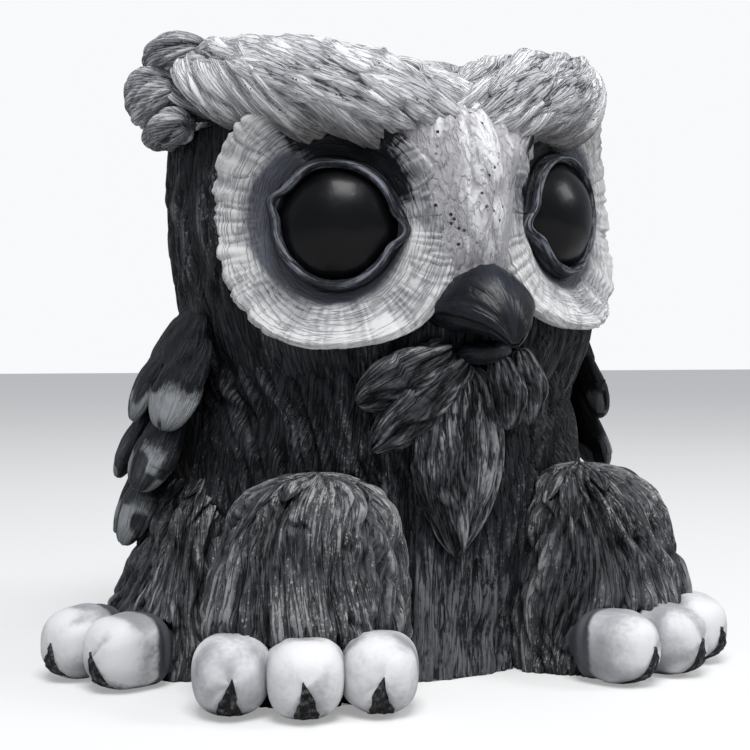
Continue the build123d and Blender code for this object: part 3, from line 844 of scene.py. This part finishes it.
def make_brow(side):
    """A roll wound with broad strokes, and rows of plumes along its top and front."""
    stations = through(BROW, 200)
    bearing = np.radians(stations[:, :1])
    turn = turns(120)
    arc = (bearing - bearing[0]) * head_wide
    around = 2 * np.pi * 5.4
    flow = turn * 5.4 - 0.45 * arc - 0.008 * arc**2
    ridges = fur(flow, arc, 401 + side, around, 1.3)
    swell = strokes(flow, arc, 8.5, 34, 431 + side, around)
    grow = 2.2 * (ridges - 0.8) + 1.7 * (swell - 0.7)
    grow = grow * smooth(stations[:, 3:4], 2.0, 5.0)
    out = stations[:, 2:3] + (stations[:, 4:5] + grow) * np.cos(turn)
    rise = stations[:, 1:2] - SLUMP[side] * smooth(stations[:, :1], 15, 60)
    up = rise + (stations[:, 3:4] + grow) * np.sin(turn)
    points = from_head(on_head(side * bearing, out, up))
    # Painted shade: the underside of the roll is the zone, which the plume finish fills with a darker
    # grey.
    under = 0.8 * bump_at(turn, -75, 50)
    tubes = [tube(points, 0.75 * ridges + 0.25 * swell, under, (flow, arc + 0 * turn))]
    surface = brow_surface(side)
    shake = np.random.default_rng(60 + side)
    for row, (first, angle, pitch, wide, length, count) in enumerate(BROW_ROWS):
        for number in range(count):
            start = first + pitch * number + shake.uniform(-2, 2)
            tilt = angle + shake.uniform(-8, 8)
            climb = 52 - 8 * row
            root, tip = (start, tilt - climb * 0.5), (start + length, tilt + climb * 0.5)
            tubes.append(lock(surface, root, tip, wide * shake.uniform(0.8, 1.1), 1.0,
                              520 + 20 * row + number + side,
                              stand=(-1.0, -0.55 + 0.2 * row, -0.1 + 0.2 * row), shape=(0.5, 0.6, 0.7),
                              rows=56, columns=44, size=0.95, depth=0.9))
    make_piece(f"brow_roll_{SIDES[side]}", tubes, [f"brow_{SIDES[side]}"], plume_paint)


for side in SIDES:
    make_brow(side)

# %% [markdown]
# ## Ear tufts
# Behind each brow three fat rolls of clay lie along the side of the head, one over
# another, with their round ends to the back. Each has its CAD box's size. The left ones sag
# with their brow.

# %% Ear tufts
def make_tuft(name, side, droop, seed):
    """Fat plume through its box, from the front end to the back."""
    node = f"ear_tuft_{name}_{SIDES[side]}"
    low, high = corners(node)
    centre, half = (low + high) / 2 - (0, 0, SLUMP[side]), (high - low) / 2
    share = np.linspace(0, 1, 60)
    back = (2 * share - 1) * half[1]
    outer = side * half[0] * (0.1 - 0.35 * (2 * share - 1) ** 2)
    sink = -droop * share**2 + 0.5
    path = centre + np.stack([outer, back, sink], -1)
    tall, deep = (half[2] - 0.2) * 0.98, half[0] * 0.78
    shape = np.sqrt(np.clip(1 - (1.9 * share - 0.95) ** 2, 0.001, 1)) ** 0.85
    tubes = [plume(path, (0.0, 0.0, 1.0), tall * shape, deep * shape, seed, 110, 1.1, 1.4, 0.3 * side)]
    make_piece(f"tuft_{name}_{SIDES[side]}", tubes, [node], tuft_paint)


for side in SIDES:
    for number, (name, droop) in enumerate({"upper": 1.0, "middle": 1.6, "lower": 0.8}.items()):
        make_tuft(name, side, droop, 700 + 10 * number + side)

# %% [markdown]
# ## Nose bridge and beak
# The bridge is a ridge between the eyes, set a little off the middle at its top, where
# both brows meet. The beak is a smooth hood with a hook, over a small lower half.

# %% Nose bridge
def make_bridge():
    """Rings stacked up the forehead: the front half is a flat arch with a ridge on it,
    which flares into both brows at its top."""
    knots = [(-14, 5.2, -1.0), (-10, 7.0, 0.6), (-5, 8.0, 2.3), (0.0, 8.6, 3.3), (5.0, 10.2, 2.8),
             (9.0, 12.6, 1.8), (12.5, 14.0, 0.2), (15.0, 11.0, -2.8)]
    stations = through(knots, 190)
    turn = turns(220)
    rise, wide, proud = stations[:, :1], stations[:, 1:2], stations[:, 2:3]
    shift = 0.9 * smooth(rise, -4, 12)
    across, front = np.sin(turn), np.cos(turn)
    flat = bent(front, 0.6)
    crown = np.clip(1 - 1.35 * np.abs(across), 0, 1) ** 1.1 * (front > 0)
    x = wide * across + shift
    y = -head_deep + 6.5 - 6.5 * flat - 1.15 * proud * crown
    y = y + 0.024 * x**2 - 0.5
    ridges = fur(x + 0.10 * x * smooth(rise, 0, 14), rise, 811, 0.0, 1.0)
    lumps = noise(x / 3 + 20, rise / 4 + 20, 815) - 0.5
    raised = smooth(crown, 0.25, 0.8) + smooth(rise, 6, 12)
    raised = np.clip(raised, 0, 1)
    points = from_head(grid_points(x, y, rise))
    grow = (0.6 + 0.9 * raised) * (ridges - 0.8) + 0.8 * lumps
    points = points + normals(points) * grow[..., None]
    crest = 0.35 + 0.2 * ridges + 0.55 * raised * ridges + 0.25 * lumps
    zone = 0.5 * smooth(-5 - rise, 0, 5) * (1 - raised)
    return tube(points, crest, zone, (x, rise))


make_piece("nose_ridge", [make_bridge()], ["nose_bridge"], bridge_paint)

# %% The beak
def make_hood():
    """Tube along a hooked path. Each ring is an arch over a flatter underside."""
    knots = [(-5, 6.9, 4.9, 11.7), (-0.5, 6.8, 5.0, 11.7), (2.2, 6.1, 4.9, 12.0), (4.6, 4.7, 4.2, 12.9),
             (6.4, 3.1, 3.2, 14.1), (7.4, 1.8, 2.1, 15.4), (7.6, 0.5, 0.6, 16.9)]
    stations = through(knots, 110)
    reach, wide, tall, drop = (stations[:, n:n + 1] for n in range(4))
    turn = turns(110)
    up = np.cos(turn)
    arch = np.where(up > 0, np.abs(up), -0.72 * np.abs(up) ** 0.8)
    ridge = 0.35 * bell(turn, 0.35)
    x = wide * np.sin(turn) * (1 - 0.26 * np.clip(up, 0, 1))
    z = -drop + (tall + ridge) * arch
    points = from_head(grid_points(x, -head_deep - reach, z))
    rim = bell(np.abs(np.degrees(turn)) - 104, 9) * smooth(reach, -2, 1)
    scratch = strokes(turn * 4, reach * 3, 2.2, 14, 903, 2 * np.pi * 4)
    points = points + normals(points) * (0.12 * scratch - 0.35 * rim)[..., None]
    crest = 0.3 + 0.5 * bell(turn + 0.05, 0.5) + 0.25 * scratch - 0.3 * rim
    return tube(points, crest, 0.0, (turn * 4, reach))


make_piece("beak_hood", [make_hood()], ["beak_upper"], beak_paint)
jaw_rows = 40
jaw_knots = [(0, 4.5 - head_deep, -18.0), (0, -head_deep, -17.8), (0, -head_deep - 2.4, -17.4)]
jaw_path = from_head(through(jaw_knots, jaw_rows))
jaw_shape = outline(np.linspace(0, 1, jaw_rows), 0.3, 0.2, 0.6)
jaw = plume(jaw_path, head_x, 3.6 * jaw_shape, 1.6 * jaw_shape, 911, 60, 1.4, 0.15)
make_piece("lower_jaw", [jaw], ["beak_lower"], beak_paint)

# %% [markdown]
# ## Whiskers and beard
# Two tufts lie on each side of the chin, over the top of the beard, and droop from the
# beak. The beard is a pointed shield of long locks in the middle.

# %% Whiskers and beard
# Root and tip, each a bearing in degrees and a height, and the half width.
WHISKERS = {
    -1: {"upper": ((8, 44.0), (29, 37.0), 3.3), "lower": ((4, 42.6), (25, 31.0), 3.1)},
    1: {"upper": ((11, 44.0), (17, 34.0), 2.4), "lower": ((5, 43.0), (10, 33.4), 2.4)},
}
for side, pair in WHISKERS.items():
    for name, ((first, top), (last, low), wide) in pair.items():
        tubes = [lock(body_surface, (side * first, top), (side * last, low), wide, 2.2,
                      930 + side + len(name), stand=(1.8, 2.0, 0.9), shape=(0.5, 0.22, 0.5),
                      rows=80, columns=90, size=0.75, depth=1.5)]
        node = f"whisker_{name}_{SIDES[side]}"
        make_piece(f"chin_{name}_{SIDES[side]}", tubes, [node], beard_paint)

beard_low, beard_high = corners("beard")
beard_x = (beard_low[0] + beard_high[0]) / 2
# Sideways place of the root, height of the tip and half width of each lock on the shield.
BEARD_LOCKS = ((-4.2, 22.5, 2.5), (4.0, 23.5, 2.5), (-2.1, 19.5, 2.3), (2.0, 18.5, 2.3),
               (0, 17.0, 1.9))


def beard_lock(start, end, wide, thick, stand, seed):
    """Lock on the chest whose start and end are (across, height), in millimetres."""
    share = np.linspace(0, 1, 80)
    x = beard_x + start[0] + (end[0] - start[0]) * share**1.3
    height = start[1] + (end[1] - start[1]) * share
    chest = body_surface(0 * share, stand, height)
    path = np.stack([x, chest[:, 1] + 0.012 * (x - beard_x) ** 2, height], -1)
    width = wide * outline(share, 0.42, 0.16, 0.85)
    depth = thick * outline(share, 0.3, 0.4, 0.6)
    return plume(path, (1.0, 0.0, 0.0), width, depth, seed, 90, 0.8, 1.7)


beard = [beard_lock((0, beard_high[2]), (0, beard_low[2] - 0.6), 6.3, 3.0, 0.0, 950)]
for number, (slide, low, wide) in enumerate(BEARD_LOCKS):
    beard.append(beard_lock((slide, beard_high[2] - 1 - abs(slide)), (slide * 0.25, low), wide, 1.3,
                            2.1 - 0.25 * abs(slide), 960 + number))
make_piece("chin_beard", beard, ["beard"], beard_paint)

# %% [markdown]
# ## Legs
# A leg is a furry dome that stands on the ground. Its fur hangs in rolls and locks from the
# knee and ends in a ragged hem over the toes, where the dome steps back.

# %% Leg surface
# Half width, half depth, height and inward lean, from the ground to the knee's top.
FORE = np.array([(13.2, 10.2, 0, 0), (13.6, 10.6, 5, 0), (13.7, 10.9, 10, 0.1), (13.2, 10.7, 15, 0.3),
                 (12.1, 10.0, 19.6, 0.7), (10.0, 8.6, 23.4, 1.1), (7.4, 6.3, 26.2, 1.5),
                 (4.0, 3.5, 27.6, 1.8), (0.4, 0.4, 28.1, 1.9)])
HIND = np.array([(10.8, 10.6, 0, 0), (10.4, 10.3, 4, 0.2), (9.3, 9.7, 9, 0.7), (8.0, 9.0, 14, 1.6),
                 (6.6, 8.0, 19, 2.6), (5.4, 6.8, 23, 3.8), (3.8, 5.0, 26, 5.2), (1.8, 2.6, 27.6, 6.2),
                 (0.3, 0.4, 28.2, 6.8)])


def leg_surface(centre, profile, side):
    """Surface of a leg. Its height is a share of the profile, from 0 on the ground to 1 at
    the knee's top."""
    table = through(profile, 300)
    place = np.linspace(0, 1, 300)

    def surface(bearing, standoff, height):
        wide, deep, level, lean = (np.interp(height, place, table[:, n]) for n in range(4))
        points = ellipse_point(bearing, wide + standoff, deep + standoff, level)
        points[..., 2] += standoff * smooth(height, 0.75, 1.0)
        points[..., 0] += centre[0] - side * lean
        points[..., 1] += centre[1] + 0.5 * lean
        return points
    return surface


LEG_STROKE = 42  # millimetres from the ground to the knee's top along the fur
HEM_DEPTH = 2.6
# Upper and lower ends of the hanging locks, as shares of the leg, taken in turn.
LOCK_ENDS = ((0.95, 0.66), (0.9, 0.6), (0.84, 0.52))


def make_leg(name, node, centre, profile, side, facing, seed, count):
    """The dome, with rolls at the knee and a hem that steps back over the toes, and a coat
    of hanging locks."""
    surface = leg_surface(centre, profile, side)
    share = rings(120)
    bearing = turns(280)
    wide = profile[2, 0]
    around = 2 * np.pi * wide
    along = share * LEG_STROKE
    sway = 0.12 * np.sin(along / 7 + 2 * bearing + seed)
    ridges = fur((bearing + sway) * wide, along, seed, around, 0.9)
    rag = strokes(bearing * wide, share * 0, 2.6, 9, seed + 5, around)
    forward = smooth(np.cos(bearing - np.radians(facing)), 0.55, 0.85)
    hem = 0.25 - 0.045 * rag - 0.02 * ridges
    step = smooth(hem - share, 0, 0.012) * forward
    shrink = smooth(1 - share, 0, 0.3)
    flare = 0.6 * bell(share - 0.25, 0.07) * forward
    lobes = strokes((bearing + sway) * wide, along, 4.4, 24, seed + 9, around)
    knee = smooth(share, 0.45, 0.66) * smooth(1 - share, 0.06, 0.3)
    skin = 2.6 * (ridges - 0.8) * (0.2 + 0.8 * shrink) - HEM_DEPTH * step + flare
    skin = skin + 2.2 * (lobes - 0.6) * knee
    points = surface(bearing, skin, share + 0 * bearing)
    # Painted light: the knee's top is made paler, as if lit from above. The raised lobes there are paler
    # and the dips between them darker, like the dry-brushed ridges.
    glow = 0.22 * smooth(share, 0.6, 0.9) + 0.3 * (lobes - 0.6) * knee
    low = 0.15 * smooth(0.5 - share, 0, 0.25)
    # Painted shade: where the hem steps back over the toes is the zone, which the leg finish fills with
    # near black.
    tubes = [tube(points, ridges + glow + low, step, ((bearing + sway) * wide, along))]
    shake = np.random.default_rng(seed)
    for number in range(count):
        turn = facing + (number - (count - 1) / 2) * 250 / count + shake.uniform(-6, 6)
        top, hem = LOCK_ENDS[number % 3] + shake.uniform(-0.04, 0.04, 2)
        start, end = (turn + shake.uniform(-6, 6), top), (turn + shake.uniform(-6, 6), hem)
        tubes.append(lock(surface, start, end,
                          shake.uniform(1.0, 1.7), 0.5, seed + 30 + number, shake.uniform(-7, 7),
                          (-1.2, -0.55, 0.0), (0.6, 0.6, 0.8), 44, columns=32, size=0.75, depth=0.7,
                          pale=0.1 * (number % 2)))
    make_piece(name, tubes, [node], leg_paint)


FORE_FACING, HIND_FACING = 22.0, 65.0
for side, label in SIDES.items():
    low, high = corners(f"foreleg_{label}")
    centre = ((low[0] + high[0]) / 2, low[1] + FORE[2, 1])
    make_leg(f"fore_fur_{label}", f"foreleg_{label}", centre, FORE, side, side * FORE_FACING,
             1000 + 40 * side, 9)
    centre = (side * 33.0, middle(f"hind_leg_{label}")[1])
    make_leg(f"hind_fur_{label}", f"hind_leg_{label}", centre, HIND, side, side * HIND_FACING,
             1100 + 40 * side, 6)

# %% [markdown]
# ## Feet
# Each toe is a plump bulb with a rounded square section, flat where it stands. Its front
# is a superellipsoid: |x / a|^p + |y / b|^p + |z / c|^p = 1, with p = 2.6, is squarer than
# a ball. The claw is a rough triangle pressed into the toe's front, point upwards.

# %% Toe shape
TOE_POWER, TOE_HALF_WIDE = 2.6, 4.8
TOE_AHEAD = 2.4  # how much further forward than the CAD toe it stands
UP = np.array([0.0, 0.0, 1.0])
FEET = {"fore": (FORE_FACING, ("inner", "middle", "outer")), "hind": (HIND_FACING, ("front", "rear"))}


def toe_axes(node, side, facing):
    """A toe's middle on a level half its height up, its forward and sideways directions,
    that half height, and its half length, from the CAD box that holds it turned."""
    low, high = corners(node)
    turn = np.radians(facing)
    ahead = np.array([side * np.sin(turn), -np.cos(turn), 0.0])
    beside = np.array([ahead[1], -ahead[0], 0.0])
    half = (high - low) / 2
    centre = (low + high) / 2 + TOE_AHEAD * ahead
    centre[2] = half[2]
    reach = half[:2] @ np.abs(ahead[:2]) - 4.3 * np.abs(ahead[0] * ahead[1])
    return centre, ahead, beside, half[2], reach


def bulb(level, sideways, wide, tall, deep):
    """How far a toe's bulb reaches forward at a height and a sideways place."""
    inside = 1 - np.abs(sideways / wide) ** TOE_POWER - np.abs(level / tall) ** TOE_POWER
    return deep * np.clip(inside, 0, 1) ** (1 / TOE_POWER)


# %% Toes and claws
def make_toe(node, side, facing, seed):
    """Rings about the toe's long axis, with a crease where the knuckle bends."""
    centre, ahead, beside, tall, reach = toe_axes(node, side, facing)
    place = rings(64, -1, 1)
    turn = turns(72)
    front = np.clip(1 - np.clip((place - 0.1) / 0.9, 0, 1) ** TOE_POWER, 0, 1) ** (1 / TOE_POWER)
    back = 1 - 0.6 * smooth(-0.1 - place, 0, 0.6)
    size = np.maximum(front * back, 0.02)
    side_part = bent(np.cos(turn), 2 / TOE_POWER)
    up_part = bent(np.sin(turn), 2 / TOE_POWER)
    crease = 1.0 * bell(place + 0.12, 0.09) * smooth(np.sin(turn), -0.9, 0.3)
    soft = noise(place * 3 + 9, np.cos(turn) * 1.5 + np.sin(turn) + 9, seed) - 0.5
    grow = size * (0.45 * soft - crease * (0.4 + soft))
    x = (TOE_HALF_WIDE * size + grow) * side_part
    z = np.maximum((tall * size + grow) * up_part, -tall)
    along = place * reach
    points = centre + along[..., None] * ahead + x[..., None] * beside + z[..., None] * UP
    # Painted shade: the toe's back under the fur, its underside and the back of its sides are the zone,
    # which the toe finish fills with dark grey.
    edge = smooth(0.15 - place, 0, 0.25) + 0.5 * smooth(-np.sin(turn), 0.5, 1.0)
    edge = edge + 0.35 * smooth(np.abs(np.cos(turn)), 0.8, 1.0) * smooth(0.7 - place, 0, 0.4)
    # The crest is lowered in the knuckle's crease, as painted shade there.
    crest = 0.55 + 0.7 * soft + 0.2 * smooth(place, 0.3, 0.8) - crease
    return tube(points, crest, np.clip(edge, 0, 1), (x + 0.5 * along, z + 0.5 * along))


def make_claw(node, side, facing, seed):
    """Plate that follows the bulb: its half width falls from 1.65 mm to a point."""
    centre, ahead, beside, tall, reach = toe_axes(node, side, facing)
    share = rings(40)
    turn = turns(40)
    ragged = 0.25 * (noise(share * 9 + 3, np.sign(np.cos(turn)) + 5, seed) - 0.5)
    half_wide = (1.6 * (1 - share**1.3) + 0.05) * (1 + ragged)
    level = share * 5.3 - tall + 0.15
    sideways = half_wide * np.cos(turn) + 0.35 * np.sin(share * 5 + seed) * share
    forward = 0.1 * reach + bulb(level, sideways, TOE_HALF_WIDE, tall, 0.9 * reach)
    rough = noise(sideways * 2.2 + 20, level * 2.2 + 20, seed + 3) - 0.5
    lift = np.where(np.sin(turn) > 0, 0.32 + 0.5 * rough, -0.9) * (1 - 0.35 * share)
    points = centre + (forward + lift)[..., None] * ahead + sideways[..., None] * beside
    points = points + level[..., None] * UP
    return tube(points, 0.45 + rough, 0.0, (sideways, level))


for side, label in SIDES.items():
    for foot, (facing, names) in FEET.items():
        claws = []
        for number, name in enumerate(names):
            node = f"{foot}_toe_{name}_{label}"
            seed = 1200 + 10 * number + side + len(foot) * (facing > 30)
            toe = make_toe(node, side, facing, seed)
            make_piece(f"toe_{foot}_{name}_{label}", [toe], [node], toe_paint)
            claws.append(make_claw(node, side, facing, seed))
        make_piece(f"claws_{foot}_{label}", claws, [f"{foot}_claws_{label}"], claw_paint)

# %% [markdown]
# ## Wings and tail
# The wing is a pad on the flank with rows of separate feathers, each row over the next one down. A
# feather is a plume whose strokes slant across it, like barbs.

# %% Feathers
def feather(bearing, tip, length, root_stand, tip_stand, wide, thick, seed, blotch=1.0):
    """Plume down the body. Paint is blotched near its tip, by the zone."""
    rows, columns = 54, 48
    share = np.linspace(0, 1, rows)
    turned = np.full(rows, np.radians(bearing))
    stand = root_stand + (tip_stand - root_stand) * share**1.2
    height = tip + length * (1 - share)
    path = body_surface(turned, stand, height)
    beside = body_surface(turned + 0.02, stand, height) - path
    width = wide * outline(share, 0.6, 0.3, 0.45)
    depth = thick * outline(share, 0.6, 0.4, 0.5)
    blot = noise(share[:, None] * 4 + 3, turns(columns) * 1.3 + 9, seed)
    tip_zone = blotch * smooth(share[:, None], 0.35, 0.85) * smooth(blot, 0.38, 0.6)
    return plume(path, beside, width, depth, seed, columns, 1.25, 0.6, 0.25, tip_zone)


# %% Wing pads
PAD_BEARING, PAD_MIDDLE = 108, 32.5
PAD_HALF_LONG, PAD_HALF_TALL = 17, 17.6


def make_pad(side):
    """Oval shell on the flank, with the body's strokes."""
    share = rings(60, 0.02, np.pi - 0.02)
    turn = turns(140)
    out = np.sin(share)
    bearing = np.radians(PAD_BEARING) + PAD_HALF_LONG * out * np.cos(turn) / body_wide
    height = PAD_MIDDLE + PAD_HALF_TALL * out * np.sin(turn)
    stand = np.where(share < np.pi / 2, 2.7 - 3.2 * out**6, -0.5)
    ridges = fur(bearing * body_wide, height, 1300 + side, 0.0, 1.2)
    stand = stand + 0.7 * (ridges - 0.6) * (share < np.pi / 2)
    points = body_surface(side * bearing, stand, height)
    return tube(points, ridges, 0.0, (bearing * body_wide, height))


# %% Rows of feathers
# Height of the tips, length, standoff of the tips, first bearing and count.
ROWS = {"scapulars": (40.0, 9.5, 3.0, 84, 3), "coverts": (33.5, 13.0, 5.6, 77, 4),
        "secondaries": (25.0, 13.5, 7.0, 82, 4), "primaries": (16.0, 14.5, 7.4, 90, 3)}
for side, label in SIDES.items():
    make_piece(f"pad_{label}", [make_pad(side)], [f"wing_pad_{label}"], fur_paint)
    for row, (name, (tip, length, stand, first, count)) in enumerate(ROWS.items()):
        shake = np.random.default_rng(1400 + row + 10 * side)
        tubes = []
        for number in range(count):
            bearing = side * (first + 22 * number + shake.uniform(-1.5, 1.5))
            seed = 1450 + 50 * row + number + 5 * side
            tubes.append(feather(bearing, tip + shake.uniform(-0.7, 0.7), length, 1.8, stand, 6.3, 1.7,
                                 seed, min(row, 1)))
        make_piece(f"{name}_feathers_{label}", tubes, [f"{name}_{label}"], feather_paint)
tail = [feather(180 + turn, 4.0, 22.0, 0.3, 3.6, 6.8, 1.7, 1700 + turn) for turn in (-21, 0, 21)]
make_piece("tail_plumes", tail, ["tail_feathers"], feather_paint)

# %% [markdown]
# ## Floor, light and camera
# The figure stands on a pale floor under an overcast sky: one broad lamp above and in
# front, a weaker one from its left, and a dim bluish world. Only the camera sees the white
# backdrop.

# %% Floor
floor_half = 3.0
floor_glow = 0.3
floor_mesh = bpy.data.meshes.new("floor")
floor_points = [(x * floor_half, y * floor_half, 0) for x, y in ((-1, -1), (1, -1), (1, 1), (-1, 1))]
floor_mesh.from_pydata(floor_points, [], [(0, 1, 2, 3)])
floor = bpy.data.objects.new("floor", floor_mesh)
bpy.context.scene.collection.objects.link(floor)
floor_paint = Paint("floor_pale", 0.9, 0.1)
floor_colour = floor_paint.mix(floor_paint.cloud(3.0, 2.0), (0.50, 0.50, 0.50), (0.54, 0.54, 0.54))
seen = floor_paint.node("ShaderNodeLightPath").outputs["Is Camera Ray"]
glow = floor_paint.math("MULTIPLY", seen, floor_glow)
floor_paint.shader.inputs["Emission Color"].default_value = (1, 1, 1, 1)
floor_paint.links.new(glow, floor_paint.shader.inputs["Emission Strength"])
floor_mesh.materials.append(floor_paint.finish(floor_colour, floor_paint.cloud(30.0), 0.05))
floor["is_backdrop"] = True

# %% Light
def add_lamp(name, place, target, size, power):
    """Square area lamp at a place, aimed at a target. Metres and watts."""
    data = bpy.data.lights.new(name, "AREA")
    data.size = size
    data.energy = power
    lamp = bpy.data.objects.new(name, data)
    bpy.context.scene.collection.objects.link(lamp)
    lamp.location = place
    aim = np.array(target) - np.array(place)
    yaw = np.arctan2(aim[1], aim[0]) - np.pi / 2
    pitch = np.arctan2(aim[2], np.hypot(aim[0], aim[1])) + np.pi / 2
    lamp.rotation_euler = (pitch, 0, yaw)


figure_middle = (0, 0, 0.05)
add_lamp("sky", (-0.12, -0.30, 0.62), figure_middle, 0.34, 4.8)
add_lamp("side", (0.45, -0.30, 0.40), figure_middle, 0.2, 1.3)

# %% World
world = bpy.data.worlds.new("overcast")
bpy.context.scene.world = world
world.use_nodes = True
tree = world.node_tree
ground_light = tree.nodes["Background"]
ground_light.inputs["Color"].default_value = (0.86, 0.92, 1.0, 1)
ground_light.inputs["Strength"].default_value = 0.38
backdrop = tree.nodes.new("ShaderNodeBackground")
backdrop.inputs["Color"].default_value = (0.94, 0.95, 0.96, 1)
path_kind = tree.nodes.new("ShaderNodeLightPath")
blend = tree.nodes.new("ShaderNodeMixShader")
tree.links.new(path_kind.outputs["Is Camera Ray"], blend.inputs[0])
tree.links.new(ground_light.outputs[0], blend.inputs[1])
tree.links.new(backdrop.outputs[0], blend.inputs[2])
tree.links.new(blend.outputs[0], tree.nodes["World Output"].inputs["Surface"])

# %% Camera
lens = bpy.data.cameras.new("lens")
camera = bpy.data.objects.new("camera", lens)
bpy.context.scene.collection.objects.link(camera)
camera.location = (-0.0877, -0.1781, 0.0433)
camera.rotation_euler = (np.radians(90), 0, np.radians(-25.2))
lens.lens = 64.7
lens.sensor_width = 36
lens.shift_y = -0.0267
lens.clip_start = 0.01
bpy.context.scene.camera = camera
bpy.context.scene.render.resolution_x = 750
bpy.context.scene.render.resolution_y = 750
bpy.context.scene.view_settings.view_transform = "Standard"

# %% [markdown]
# Last, the visual model's box is compared with the CAD's. It is wider by the depth of the
# strokes and the toes' place, and lower by the sag of the left brow and tufts.

# %% Compare sizes and finish
size_low, size_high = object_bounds()
growth = np.array(size_high) - np.array(size_low) - np.array(cad_high) + np.array(cad_low)
print("grew by", np.round(growth / MM, 2), "mm")
